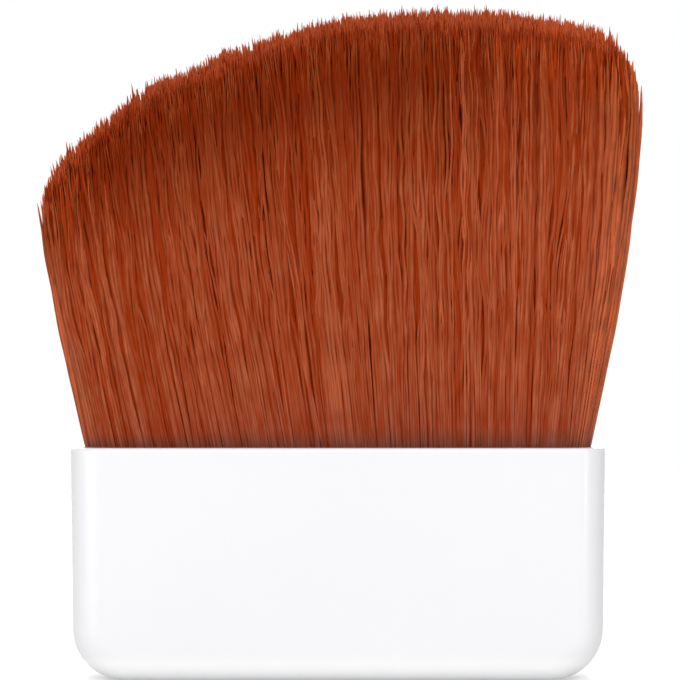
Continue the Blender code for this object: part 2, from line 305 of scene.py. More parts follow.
def new_piece(name, mesh, slot_name, *nodes):
    """Link a mesh as a piece that rides on the root body, and hide the nodes it stands for. The slot name is
    not used.
    """
    piece = bpy.data.objects.new(name, mesh)
    bpy.context.scene.collection.objects.link(piece)
    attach(piece, "root")
    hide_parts(*nodes)
    return piece


def applied(name, mesh, add_modifiers):
    """Mesh with modifiers applied to it. The function that adds them returns the objects they need."""
    carrier = bpy.data.objects.new(name, mesh)
    bpy.context.scene.collection.objects.link(carrier)
    extras = add_modifiers(carrier)
    depsgraph = bpy.context.evaluated_depsgraph_get()
    result = bpy.data.meshes.new_from_object(carrier.evaluated_get(depsgraph))
    result.name = name
    for extra in [carrier] + extras:
        bpy.data.objects.remove(extra)
    return result


def weighted_normals(name, mesh, sharp_angle):
    """Smooth mesh whose flat faces stay flat beside their rounded edges."""
    mesh.shade_smooth()
    mesh.set_sharp_from_angle(angle=sharp_angle)

    def add(carrier):
        weigh = carrier.modifiers.new("weigh", "WEIGHTED_NORMAL")
        weigh.mode = "FACE_AREA"
        weigh.weight = NORMAL_WEIGHT
        weigh.keep_sharp = True
        return []

    return applied(name, mesh, add)


def finished_mesh(work, name):
    """Mesh of the work, with all its faces turned outward."""
    bmesh.ops.recalc_face_normals(work, faces=work.faces)
    mesh = bpy.data.meshes.new(name)
    work.to_mesh(mesh)
    work.free()
    return mesh


def next_ring(work, ring, places):
    """New ring of vertices at the given places, joined to the last ring."""
    fresh = [work.verts.new(place) for place in places]
    for index in range(len(ring)):
        after = (index + 1) % len(ring)
        work.faces.new((ring[index], fresh[index], fresh[after], ring[after]))
    return fresh


def slot_end(side, radius, steps):
    """Points round one end of a slot, anticlockwise from above: side 1 is the right end and -1 the left."""
    points = []
    for step in range(steps + 1):
        angle = -side * math.pi / 2 + math.pi * step / steps
        points.append((side * HALF_STRAIGHT + radius * math.cos(angle), radius * math.sin(angle)))
    return points


def end_stations():
    """Stations round one end of the handle, from front to back.

    Each has the share of the edge radius by which it stands out sideways, its place in depth, the depth of
    the groove there, and how much its edge faces front or back.
    """
    quarter = math.pi / 2
    straight = HANDLE_DEPTH / 2 - EDGE_RADIUS
    stations = []
    for step in range(END_STEPS + 1):
        angle = quarter * step / END_STEPS
        stations.append((math.sin(angle), -straight - EDGE_RADIUS * math.cos(angle), 0, -math.cos(angle)))
    stations.append((1, -GROOVE_WIDTH / 2, 0, 0))
    stations.append((1, 0, GROOVE_DEPTH, 0))
    stations.append((1, GROOVE_WIDTH / 2, 0, 0))
    for step in range(END_STEPS + 1):
        angle = quarter * (END_STEPS - step) / END_STEPS
        stations.append((math.sin(angle), straight + EDGE_RADIUS * math.cos(angle), 0, math.cos(angle)))
    return stations


def handle_outline(inset):
    """Right side of the front outline at an inset, from below the rim down round the corner to the foot."""
    centre_x = HANDLE_WIDTH / 2 - HANDLE_DRAFT - FOOT_CORNER_RADIUS
    radius = FOOT_CORNER_RADIUS - inset
    top = HANDLE_HEIGHT - RIM_RADIUS
    points = []
    for step in range(SIDE_STEPS):
        share = step / SIDE_STEPS
        height = top + (FOOT_CORNER_RADIUS - top) * share
        draft = HANDLE_DRAFT * (HANDLE_HEIGHT - height) / (HANDLE_HEIGHT - FOOT_CORNER_RADIUS)
        points.append((HANDLE_WIDTH / 2 - draft - inset, height))
    for step in range(CORNER_STEPS + 1):
        angle = math.pi / 2 * step / CORNER_STEPS
        x = centre_x + radius * math.cos(angle)
        points.append((x, FOOT_CORNER_RADIUS - radius * math.sin(angle)))
    return points


def handle_mesh():
    """Moulded shell before its cells are cut: skin with rounded edges, rim, and pocket down to the ledge."""
    work = bmesh.new()
    stations = end_stations()
    columns = []
    for side, y, groove, _ in stations:
        inset = EDGE_RADIUS * (1 - side) + groove
        right = handle_outline(inset)
        left = [(-x, z) for x, z in reversed(right)]
        columns.append([work.verts.new((x, y, z)) for x, z in right + left])
    for near, far in zip(columns, columns[1:]):
        for index in range(len(near) - 1):
            work.faces.new((near[index], far[index], far[index + 1], near[index + 1]))
    work.faces.new(columns[0])
    work.faces.new(list(reversed(columns[-1])))

    ring = [column[0] for column in columns] + [column[-1] for column in reversed(columns)]
    corner_x = HANDLE_WIDTH / 2 - EDGE_RADIUS
    for step in range(1, RIM_STEPS + 1):
        angle = math.pi / 2 * step / RIM_STEPS
        inset = RIM_RADIUS * (1 - math.cos(angle))
        height = HANDLE_HEIGHT - RIM_RADIUS + RIM_RADIUS * math.sin(angle)
        right = []
        for side, y, groove, lean in stations:
            x = corner_x + (EDGE_RADIUS - inset) * side - groove * (1 - step / RIM_STEPS)
            right.append((x, y - inset * lean, height))
        left = [(-x, y, z) for x, y, z in reversed(right)]
        ring = next_ring(work, ring, right + left)

    def slot_ring(radius, height):
        """Places round a slot, as many as the handle's own ring has."""
        right = [(x, y, height) for x, y in slot_end(1, radius, len(stations) - 1)]
        return right + [(-x, y, z) for x, y, z in reversed(right)]

    for step in range(POCKET_EDGE_STEPS + 1):
        angle = math.pi / 2 * step / POCKET_EDGE_STEPS
        spread = POCKET_EDGE_RADIUS * (1 - math.sin(angle))
        height = HANDLE_HEIGHT - POCKET_EDGE_RADIUS * (1 - math.cos(angle))
        ring = next_ring(work, ring, slot_ring(POCKET_RADIUS + spread, height))
    ring = next_ring(work, ring, slot_ring(POCKET_RADIUS, LEDGE_HEIGHT))
    work.faces.new(ring)
    return finished_mesh(work, "handle_skin")


def cell_mesh():
    """Cutters for the cells under the ledge: a slot divided by the ribs."""
    work = bmesh.new()
    reach = HALF_STRAIGHT + CORE_RADIUS
    spacing = 2 * reach / (RIB_COUNT + 1)
    top = (LEDGE_HEIGHT + HANDLE_HEIGHT) / 2
    for cell in range(RIB_COUNT + 1):
        low = -reach + cell * spacing + (RIB_THICKNESS / 2 if cell else 0)
        high = -reach + (cell + 1) * spacing - (RIB_THICKNESS / 2 if cell < RIB_COUNT else 0)
        outline = []
        if cell < RIB_COUNT:
            outline += [(high, -CORE_RADIUS), (high, CORE_RADIUS)]
        else:
            outline += slot_end(1, CORE_RADIUS, CELL_END_STEPS)
        if cell:
            outline += [(low, CORE_RADIUS), (low, -CORE_RADIUS)]
        else:
            outline += slot_end(-1, CORE_RADIUS, CELL_END_STEPS)
        lower = [work.verts.new((x, y, FLOOR_THICKNESS)) for x, y in outline]
        upper = [work.verts.new((x, y, top)) for x, y in outline]
        for index in range(len(outline)):
            after = (index + 1) % len(outline)
            work.faces.new((lower[index], lower[after], upper[after], upper[index]))
        work.faces.new(list(reversed(lower)))
        work.faces.new(upper)
    return finished_mesh(work, "cells")


def make_handle():
    """Handle with its cells cut and its normals weighted."""
    def add(carrier):
        cutter = bpy.data.objects.new("cells", cell_mesh())
        bpy.context.scene.collection.objects.link(cutter)
        cut = carrier.modifiers.new("cells", "BOOLEAN")
        cut.operation = "DIFFERENCE"
        cut.solver = "EXACT"
        cut.object = cutter
        return [cutter]

    mesh = weighted_normals("handle", applied("handle_cut", handle_mesh(), add), HANDLE_SHARP_ANGLE)
    return new_piece("handle", mesh, "handle_plastic", "handle_shell")


def make_slice():
    """Slice of resin with a meniscus: its top is highest at its edge and lower between the roots."""
    work = bmesh.new()
    levels = (
        (RESIN_RADIUS, SLICE_FOOT),
        (RESIN_RADIUS, SLICE_TOP),
        (RESIN_RADIUS - MENISCUS / 2, SLICE_TOP),
        (RESIN_RADIUS - 2 * MENISCUS, SLICE_TOP - MENISCUS),
    )
    ring = None
    for radius, height in levels:
        places = [(x, y, height) for x, y in slot_end(1, radius, SLICE_END_STEPS)]
        places += [(-x, -y, z) for x, y, z in places]
        if ring is None:
            ring = [work.verts.new(place) for place in places]
            work.faces.new(ring)
        else:
            ring = next_ring(work, ring, places)
    work.faces.new(ring)
    mesh = weighted_normals("root_slice", finished_mesh(work, "root_slice"), SLICE_SHARP_ANGLE)
    return new_piece("root_slice", mesh, "resin", "bristle_tuft")


# Filaments

def slot_places(rng, pitch, jitter):
    """Places that fill the slot of the roots, in staggered and jittered rows, the outermost on its edge."""
    places = []
    # The rows are as far apart as those of equal triangles
    row_pitch = pitch * math.sqrt(0.75)
    rows = int(ROOT_REACH / row_pitch) + 1
    half = int((HALF_STRAIGHT + ROOT_REACH) / pitch) + 1
    for row in range(-rows, rows + 1):
        for column in range(-half, half + 1):
            places.append(((column + (row % 2) / 2) * pitch, row * row_pitch))
    places = np.array(places)
    places += rng.uniform(-jitter, jitter, places.shape) * pitch
    straight = np.clip(places[:, 0], -HALF_STRAIGHT, HALF_STRAIGHT)
    spoke = np.stack([places[:, 0] - straight, places[:, 1]], axis=1)
    length = np.hypot(spoke[:, 0], spoke[:, 1])
    inside = length < ROOT_REACH + pitch / 2
    shrink = np.minimum(ROOT_REACH / np.maximum(length, ROOT_REACH), 1)
    places = np.stack([straight + spoke[:, 0] * shrink, spoke[:, 1] * shrink], axis=1)
    return places[inside]


def nearest(places, centres):
    """Index of the nearest centre for each place."""
    found = np.empty(len(places), int)
    for start in range(0, len(places), SEARCH_BLOCK):
        block = places[start:start + SEARCH_BLOCK]
        gaps = ((block[:, None, :] - centres[None, :, :]) ** 2).sum(axis=2)
        found[start:start + SEARCH_BLOCK] = gaps.argmin(axis=1)
    return found


def ease(value):
    """Smooth step from 0 to 1."""
    value = np.clip(value, 0, 1)
    return value * value * (3 - 2 * value)


def settle(share):
    """Quarter of a sine wave, from 0 up to 1, where it stays."""
    return np.sin(np.minimum(share, 1) * math.pi / 2)


def round_drop(share):
    """Drop of a circle of radius 1 from its top, at a share of the radius beside it."""
    return 1 - np.sqrt(1 - share ** 2)


def below_mouth(rise):
    """Share of the way from the mouth down to the roots."""
    return np.clip(-rise / (HANDLE_HEIGHT - ROOT_HEIGHT), 0, 1)


def flares(rise):
    """How far the left and right sides have spread at a rise above the mouth, and the half depth there."""
    above = np.maximum(rise, 0)
    left = LEFT_BEND * settle(above / LEFT_BEND_RISE) + LEFT_SLOPE * above
    right = RIGHT_FLARE * settle(above / RIGHT_FLARE_RISE)
    depth = MOUTH_REACH + DEPTH_FLARE * settle(above / DEPTH_FLARE_RISE)
    return left, right, depth + (ROOT_REACH - MOUTH_REACH) * below_mouth(rise)


def flow(across, rise):
    """Place across the tuft of a filament at a rise. The left half leans as one, the right end spreads."""
    left, right, _ = flares(rise)
    side = MOUTH_SIDE + (ROOT_SIDE - MOUTH_SIDE) * below_mouth(rise)
    share = LEAN_SHARE + CORNER_LEAN_SHARE * np.minimum(across, 0) ** CORNER_LEAN_POWER
    leftward = (1 - ease((across + LEAN_START) / LEAN_SPAN)) * share
    rightward = np.clip((across - SPREAD_START) / (1 - SPREAD_START), 0, 1) ** SPREAD_POWER
    return across * side - leftward * left + rightward * right


def crown_rise(across):
    """Rise of the crown above the mouth, on the slanted and domed outline of the tuft."""
    rise = np.full(across.shape, SIDE_TIP_RISE)
    left_corner = MOUTH_SIDE + LEFT_TIP_REACH
    for _ in range(CROWN_ROUNDS):
        right_corner = MOUTH_SIDE + flares(rise)[1]
        shift = (right_corner - left_corner) / 2
        place = np.clip((flow(across, rise) - shift) / ((right_corner + left_corner) / 2), -1, 1)
        crown = CROWN_RISE * np.sqrt(1 - place ** 2)
        lift = np.interp(place, TIP_LIFT_PLACES, TIP_LIFTS)
        rise = (rise + SIDE_TIP_RISE + TIP_SLANT * place + crown + lift) / 2
    return rise


def bend(through, crown, rise):
    """Share of the half depth that is left to a filament as it bends in towards the crown.

    The outer filaments follow the dome, the inner ones less, so that their tips spread over its top.
    """
    over = np.clip((rise - crown + FACE_DROP) / FACE_DROP, 0, 1)
    return 1 - np.abs(through) * round_drop(over)


def tip_drop(through):
    """How far below the crown a filament reaches the dome."""
    return FACE_DROP * round_drop(np.abs(through) / (1 + np.abs(through)))


def filament_leans(rng, places, beyond, edge, clump, clump_count, lock, lock_count):
    """How far each filament leans, how free it is to lean outward, and whether it strays."""
    count = len(places)
    # Near the outside, a filament leans outward less than inward, so that the tuft keeps its outline
    near = np.stack([beyond, np.abs(places[:, 1])], axis=1) / ROOT_REACH
    keep = 1 - HOLD_SHARES * ease((near - HOLD_STARTS) / HOLD_SPANS)
    lean = rng.normal(0, CLUMP_LEAN, (clump_count, 2))[clump] * LEAN_SHARES
    lean += rng.normal(0, LOCK_LEAN, (lock_count, 2))[lock] * LEAN_SHARES
    lean += rng.normal(0, OWN_LEAN, (count, 2)) * LEAN_SHARES
    lean = np.where(places * lean > 0, lean * keep, lean)
    stray = (rng.random(count) < STRAY_SHARE) & (edge > SURFACE_EDGE)
    outward = np.stack([np.sign(places[:, 0]) * beyond, places[:, 1]], axis=1)
    # In the middle of the tuft the length can be 0, which has to stay out of the division
    length = np.maximum(np.hypot(outward[:, 0], outward[:, 1]), 1e-9)
    outward /= length[:, None]
    lean += (stray * rng.uniform(LEAST_STRAY, 1.0, count))[:, None] * outward * STRAY_REACHES
    return lean, keep, stray


def filament_columns(rng, across, edge, clump, clump_count, lock, lock_count):
    """Colour column of each filament."""
    count = len(across)
    shade = MIDDLE_SHADE + OWN_SHADE * rng.standard_normal(count)
    shade += CLUMP_SHADE * rng.standard_normal(clump_count)[clump]
    shade += LOCK_SHADE * rng.standard_normal(lock_count)[lock]
    for centre, spread, tone in LOCK_TONES:
        shade += tone * np.exp(-((across - centre) / spread) ** 2)
    shade += RIGHT_SHADE * ease((across - RIGHT_SHADE_START) / RIGHT_SHADE_SPAN)
    shade = np.clip(shade, (DEEP_COLUMNS + 1) / SHADE_COLUMNS, LIGHTEST_SHADE)
    # Painted light: the filaments along both borders are lighter, standing in for light that comes through
    # them
    border = ease((np.abs(across) - BORDER_START) / BORDER_SPAN)
    border_painted_light = np.where(across < 0, LEFT_BORDER_PAINTED_LIGHT, RIGHT_BORDER_PAINTED_LIGHT)
    lit = rng.random(count)
    outermost = ease((np.abs(across) - OUTERMOST_START) / OUTERMOST_SPAN)
    lightest = BORDER_LIGHTEST + OUTERMOST_LIGHTER * outermost + LIT_LIGHTER * lit
    shade = np.minimum(shade + border_painted_light * border * (LEAST_LIT + LIT_RANGE * lit), lightest)
    # Painted shade: those under the surface are a deeper and more saturated red, which shows in the gaps as
    # shade between the outer filaments
    under = ease((DEEP_EDGE - edge) / DEEP_SPAN) * (1 - border)
    # This is the middle of the first column or of the second
    deep_shade = (0.5 + (edge > LIGHT_TIP_EDGE)) / SHADE_COLUMNS
    shade = np.where(rng.random(count) < under, deep_shade, shade)
    # Towards the right, and at the far left, more and more filaments take hardly any painted shade below
    # their tips
    even = ease((across - EVEN_START) / EVEN_SPAN)
    even += LEFT_EVEN_SHARE * ease((-across - LEFT_EVEN_START) / (1 - LEFT_EVEN_START))
    even = rng.random(count) < even
    return np.floor(shade * SHADE_COLUMNS) + even * SHADE_COLUMNS


def tip_offsets(rng, edge, stray, clump_tip):
    """How far each filament ends above or below its place on the crown or the dome."""
    count = len(edge)
    offset = clump_tip + rng.uniform(-OWN_TIP, OWN_TIP, count)
    offset += stray * rng.uniform(0, STRAY_TIP, count)
    offset -= SURFACE_TIP * rng.random(count) * edge ** 3
    offset += np.minimum(rng.exponential(TIP_TAIL, count), TIP_TAIL_LIMIT)
    return offset


def filament_homes(rng):
    """Where each filament stands, its clump and lock, its lean, waves and tip, its radius and its column."""
    places = slot_places(rng, FILAMENT_PITCH, FILAMENT_JITTER)
    clumps = slot_places(rng, CLUMP_PITCH, GROUP_JITTER)
    locks = slot_places(rng, LOCK_PITCH, GROUP_JITTER)
    clump = nearest(places, clumps)
    lock = nearest(places, locks)
    scale = np.array([ROOT_SIDE, ROOT_REACH])
    count = len(places)
    groups = (clump, len(clumps), lock, len(locks))
    beyond = np.maximum(np.abs(places[:, 0]) - HALF_STRAIGHT, 0)
    edge = np.hypot(beyond, places[:, 1]) / ROOT_REACH
    lean, keep, stray = filament_leans(rng, places, beyond, edge, *groups)
    column = filament_columns(rng, places[:, 0] / ROOT_SIDE, edge, *groups)
    clump_turns = rng.uniform(*CLUMP_TURNS, (len(clumps), 2))[clump]
    clump_phase = rng.uniform(0, 2 * math.pi, (len(clumps), 2))[clump]
    clump_swing = rng.normal(0, CLUMP_SWING, (len(clumps), 2))[clump] * SWING_SHARES
    clump_tip = rng.uniform(-CLUMP_TIP, CLUMP_TIP, len(clumps))[clump]
    home = np.clip(places / scale, -1, 1)
    home[:, 1] *= 1 + SURFACE_CROWDING * (1 - home[:, 1] ** 2)
    return {
        "home": home,
        "clump": clumps[clump] / scale,
        "lock": locks[lock] / scale,
        "edge": edge,
        "keep": keep,
        "lean": lean,
        "tip": tip_offsets(rng, edge, stray, clump_tip),
        "turns": rng.uniform(*OWN_TURNS, (count, 2)),
        "phase": rng.uniform(0, 2 * math.pi, (count, 2)),
        "swing": rng.normal(0, OWN_SWING, (count, 2)) * SWING_SHARES,
        "ripple_turns": rng.uniform(*RIPPLE_TURNS, (count, 2)),
        "ripple_phase": rng.uniform(0, 2 * math.pi, (count, 2)),
        "ripple_swing": rng.uniform(LEAST_RIPPLE * RIPPLE, RIPPLE, (count, 2)) * RIPPLE_SHARES,
        "clump_turns": clump_turns,
        "clump_phase": clump_phase,
        "clump_swing": clump_swing,
        "radius": FILAMENT_RADIUS * rng.uniform(*RADIUS_SPREAD, count),
        "fatness": INNER_FATNESS * (1 - ease((edge - FATNESS_EDGE) / FATNESS_SPAN)),
        "column": column,
        "turn": rng.uniform(0, 2 * math.pi, count),
    }


def filament_paths(homes, chosen, steps):
    """Paths, radii and shares of the length of the chosen filaments, ring by ring."""
    own = {key: value[chosen] for key, value in homes.items()}
    home = own["home"]
    crown = crown_rise(home[:, 0])[:, None]
    tip = crown + (own["tip"] - tip_drop(home[:, 1]))[:, None]
    foot = ROOT_HEIGHT - HANDLE_HEIGHT
    # The mouth is at the same share of every filament's length
    along = np.concatenate([[0], np.linspace(MOUTH_SHARE, EVEN_RINGS_END, steps), LAST_RINGS])
    rise = np.where(along < MOUTH_SHARE, foot * (1 - along / MOUTH_SHARE),
                    tip * (along - MOUTH_SHARE) / (1 - MOUTH_SHARE))
    above = np.maximum(rise, 0)
    free = ease(above / FREE_RISE)
    path = np.empty(rise.shape + (3,))
    for axis in (0, 1):
        keep = own["keep"][:, axis, None]
        place = home[:, axis, None] + (own["clump"] - home)[:, axis, None] * CLUMP_PULL * free * keep
        place += (own["lock"] - home)[:, axis, None] * LOCK_PULL * free * keep
        if axis == 0:
            target = flow(place, rise)
        else:
            target = place * flares(rise)[2] * bend(home[:, 1, None], crown, rise)
        target += own["lean"][:, axis, None] * above / LEAN_RISE
        for prefix in ("", "clump_", "ripple_"):
            turns = own[prefix + "turns"][:, axis, None] * rise / LEAN_RISE
            wave = np.sin(2 * math.pi * turns + own[prefix + "phase"][:, axis, None])
            target += own[prefix + "swing"][:, axis, None] * wave * free * (HELD_WAVE + FREE_WAVE * keep)
        path[:, :, axis] = target
    path[:, :, 2] = HANDLE_HEIGHT + rise

    below = tip - rise
    profile = np.interp(below / TAPER_LENGTH, TAPER_PLACES, TAPER_RADII)
    # The inner filaments are thicker up to just below their tips, those of the crown nearest to them
    length = CROWN_THICKENING + SIDE_THICKENING * ease(np.abs(home[:, 1, None]) / SIDE_THICKENING_SPAN)
    profile = profile + own["fatness"][:, None] * ease((below - THIN_TIP) / length) * free
    profile = profile * (MOUTH_FULLNESS + RISE_FULLNESS * np.clip(rise / FULL_RISE, 0, 1))
    # Where the filaments fan out, thicker ones keep the tuft closed
    right = flow(home[:, 0, None] + FAN_STEP, rise)
    left = flow(home[:, 0, None] - FAN_STEP, rise)
    fan = (right - left) / (2 * FAN_STEP * MOUTH_SIDE)
    widening = np.clip(fan, 1, WIDEST_FAN) ** FAN_POWER - 1
    profile = profile * (1 + widening * ease(below / FAN_TAPER))
    return path, own["radius"][:, None] * profile, along


def filament_mesh(name, path, radius, own_column, along, turn):
    """Closed tubes along paths, with a UV map of colour column across and place along the filament."""
    count, rings = radius.shape
    sides = FILAMENT_SIDES
    angle = turn[:, None] + 2 * math.pi * np.arange(sides)[None, :] / sides
    offset = np.stack([np.cos(angle), np.sin(angle), np.zeros_like(angle)], axis=2)
    verts = path[:, :, None, :] + offset[:, None, :, :] * radius[:, :, None, None]
    verts = verts.reshape(-1, 3)

    # Faces of one tube, as numbers of its vertices, and the side and ring of each of their corners
    faces = []
    places = []
    for ring in range(rings - 1):
        for side in range(sides):
            after = (side + 1) % sides
            faces.append((ring * sides + side, ring * sides + after,
                          (ring + 1) * sides + after, (ring + 1) * sides + side))
            places.append(((side, ring), (side + 1, ring), (side + 1, ring + 1), (side, ring + 1)))
    faces.append(tuple(reversed(range(sides))))
    faces.append(tuple((rings - 1) * sides + side for side in range(sides)))
    places.append(tuple((side, 0) for side in reversed(range(sides))))
    places.append(tuple((side, rings - 1) for side in range(sides)))

    local = np.array([index for face in faces for index in face])
    loops = (np.arange(count)[:, None] * rings * sides + local[None, :]).ravel()
    totals = np.tile(np.array([len(face) for face in faces]), count)
    starts = np.concatenate([[0], np.cumsum(totals)[:-1]])
    mesh = bpy.data.meshes.new(name)
    mesh.vertices.add(len(verts))
    mesh.vertices.foreach_set("co", verts.ravel())
    mesh.loops.add(len(loops))
    mesh.loops.foreach_set("vertex_index", loops)
    mesh.polygons.add(len(totals))
    mesh.polygons.foreach_set("loop_start", starts)
    mesh.polygons.foreach_set("use_smooth", np.ones(len(totals), bool))

    corner = np.array([place for face in places for place in face], float)
    u = (own_column[:, None] + COLUMN_MARGIN + COLUMN_FILL * corner[None, :, 0] / sides) / COLUMNS
    v = np.broadcast_to(LENGTH_MARGIN + LENGTH_FILL * along[corner[:, 1].astype(int)], u.shape)
    coords = np.stack([u, v], axis=2).ravel()
    # The material reads the first map, and the export bakes to one with the second name
    for map_name in ("strand_uv", "OFBake"):
        layer = mesh.uv_layers.new(name=map_name)
        layer.data.foreach_set("uv", coords)
    mesh.update()
    mesh.validate()
    return mesh


def make_filaments(material):
    """The whole tuft, in pieces of its outer and inner filaments."""
    rng = np.random.default_rng(FILAMENT_SEED)
    homes = filament_homes(rng)
    outer = homes["edge"] > SURFACE_EDGE
    front = homes["home"][:, 1] < 0
    left = homes["home"][:, 0] < 0
    groups = {
        "bristles_front_left": (outer & front & left, OUTER_STEPS),
        "bristles_front_right": (outer & front & ~left, OUTER_STEPS),
        "bristles_back_left": (outer & ~front & left, OUTER_STEPS),
        "bristles_back_right": (outer & ~front & ~left, OUTER_STEPS),
        "bristles_core_left": (~outer & left, CORE_STEPS),
        "bristles_core_right": (~outer & ~left, CORE_STEPS),
    }
    for name, (chosen, steps) in groups.items():
        path, radius, along = filament_paths(homes, chosen, steps)
        mesh = filament_mesh(name, path, radius, homes["column"][chosen], along, homes["turn"][chosen])
        mesh.materials.append(material)
        new_piece(name, mesh, "bristles", "bristle_tuft")


# Materials

def new_material(name):
    """Material with its node tree and its Principled shader."""
    material = bpy.data.materials.new(name)
    material.use_nodes = True
    return material, material.node_tree, material.node_tree.nodes["Principled BSDF"]


def add_node(tree, kind, **values):
    """Node with some of its properties set."""
    node = tree.nodes.new(kind)
    for key, value in values.items():
        setattr(node, key, value)
    return node


def feed(tree, socket, value):
    """Set a socket to a number, a vector or a colour, or link it to another socket."""
    if isinstance(value, (int, float, tuple)):
        socket.default_value = value
    else:
        tree.links.new(value, socket)


def object_place(tree):
    """Place in the object's own space, in which a pattern stays where it is on the surface."""
    return add_node(tree, "ShaderNodeTexCoord").outputs["Object"]


def noise(tree, vector, scale, detail):
    """Noise between 0 and 1 over a vector."""
    node = add_node(tree, "ShaderNodeTexNoise")
    feed(tree, node.inputs["Scale"], scale)
    feed(tree, node.inputs["Detail"], detail)
    feed(tree, node.inputs["Vector"], vector)
    return node.outputs["Fac"]


def ramp(tree, factor, stops):
    """Colour ramp with the given stops."""
    node = add_node(tree, "ShaderNodeValToRGB")
    elements = node.color_ramp.elements
    while len(elements) < len(stops):
        elements.new(0.5)
    for element, (place, colour) in zip(elements, stops):
        element.position = place
        element.color = (*colour, 1)
    feed(tree, node.inputs["Fac"], factor)
    return node.outputs["Color"]


def grey_ramp(tree, factor, stops):
    """Colour ramp of greys."""
    return ramp(tree, factor, [(place, (value, value, value)) for place, value in stops])


def mix(tree, kind, factor, first, second):
    """Mix of two colours; each may be a socket or a colour."""
    node = add_node(tree, "ShaderNodeMix", data_type="RGBA", blend_type=kind)
    # Of this node's sockets, inputs 6 and 7 and output 2 are the colours
    feed(tree, node.inputs[0], factor)
    feed(tree, node.inputs[6], first)
    feed(tree, node.inputs[7], second)
    return node.outputs[2]


def math_node(tree, operation, first, second):
    """Math node; each value may be a socket or a number."""
    node = add_node(tree, "ShaderNodeMath", operation=operation)
    feed(tree, node.inputs[0], first)
    feed(tree, node.inputs[1], second)
    return node.outputs[0]


def smooth_range(tree, value, start, end):
    """Smooth step of a value, from 0 at the start to 1 at the end."""
    node = add_node(tree, "ShaderNodeMapRange", interpolation_type="SMOOTHSTEP")
    feed(tree, node.inputs["From Min"], start)
    feed(tree, node.inputs["From Max"], end)
    feed(tree, node.inputs["Value"], value)
    return node.outputs["Result"]


def bump(tree, height, strength, distance):
    """Bump from a height."""
    node = add_node(tree, "ShaderNodeBump")
    feed(tree, node.inputs["Strength"], strength)
    feed(tree, node.inputs["Distance"], distance)
    feed(tree, node.inputs["Height"], height)
    return node.outputs["Normal"]


def finish_shader(tree, shader, colour, roughness, normal):
    """Feed the colour, the roughness and the normal of a shader."""
    feed(tree, shader.inputs["Base Color"], colour)
    feed(tree, shader.inputs["Roughness"], roughness)
    feed(tree, shader.inputs["Normal"], normal)


def handle_material():
    """Gloss white plastic, faintly lilac, with the slow waviness of a moulded face."""
    material, tree, shader = new_material("gloss_white_plastic")
    place = object_place(tree)
    cloud = noise(tree, place, scale=60, detail=1)
    colour = ramp(tree, cloud, [(0.35, (0.874, 0.874, 0.892)), (0.65, (0.884, 0.884, 0.902))])
    # Painted light: the lowest part of the handle is paler, as it is in the photograph, for light from the
    # floor on its rounded lower edge
    parts = add_node(tree, "ShaderNodeSeparateXYZ")
    feed(tree, parts.inputs[0], place)
    foot = smooth_range(tree, parts.outputs["Z"], FOOT_PAINTED_LIGHT_START, FOOT_PAINTED_LIGHT_END)
    colour = mix(tree, "MIX", foot, colour, (0.975, 0.975, 0.98, 1))
    haze = noise(tree, place, scale=150, detail=1)
    roughness = grey_ramp(tree, haze, [(0.3, 0.25), (0.7, 0.265)])
    wave = noise(tree, place, scale=60, detail=0)
    finish_shader(tree, shader, colour, roughness, bump(tree, wave, strength=0.10, distance=0.00002))
    return material


def filament_colour(tree, along, even):
    """Colour along a filament, with its painted shade and light, before it is tinted by its shade."""
    # Painted shade: dark towards the root and the mouth, where the filaments enter the handle
    lower_stops = [
        (0.00, (0.13, 0.030, 0.016)),
        (0.11, (0.21, 0.050, 0.026)),
        (0.15, (0.36, 0.063, 0.024)),
        (0.24, (0.39, 0.067, 0.0215)),
    ]
    # Painted shade below the tip, where the dome of the tuft turns away from the light, and painted light at
    # the tip itself
    darkening = ramp(tree, along, lower_stops + [
        (0.60, (0.39, 0.067, 0.0205)),
        (0.74, (0.325, 0.048, 0.0115)),
        (0.88, (0.213, 0.025, 0.004)),
        (0.95, (0.235, 0.030, 0.005)),
        (1.00, (0.36, 0.052, 0.013)),
    ])
    # The even filaments take less of that painted shade below the tip, and also have painted light at the
    # tip
    steady = ramp(tree, along, lower_stops + [
        (0.60, (0.42, 0.072, 0.023)),
        (0.88, (0.335, 0.050, 0.0125)),
        (1.00, (0.39, 0.058, 0.014)),
    ])
    return mix(tree, "MIX", even, darkening, steady)


def wandering_painted_light(tree, shade, column, along):
    """Painted light and shade that wander along a filament, standing in for short waves in and out of the
    light.
    """
    spot = add_node(tree, "ShaderNodeCombineXYZ")
    feed(tree, spot.inputs["X"], math_node(tree, "MULTIPLY", column, WANDER_ACROSS))
    feed(tree, spot.inputs["Y"], math_node(tree, "MULTIPLY", along, WANDER_ALONG))
    wander = math_node(tree, "SUBTRACT", noise(tree, spot.outputs[0], scale=1, detail=1), 0.5)
    lightest = math_node(tree, "MAXIMUM", shade, WANDER_LIGHTEST)
    calm = math_node(tree, "MULTIPLY", math_node(tree, "SUBTRACT", CALM_SHADE, shade), CALM_SLOPE)
    wander = math_node(tree, "MULTIPLY", wander, math_node(tree, "MINIMUM", calm, 1))
    shade = math_node(tree, "ADD", shade, math_node(tree, "MULTIPLY", wander, WANDER))
    return math_node(tree, "MINIMUM", shade, lightest)


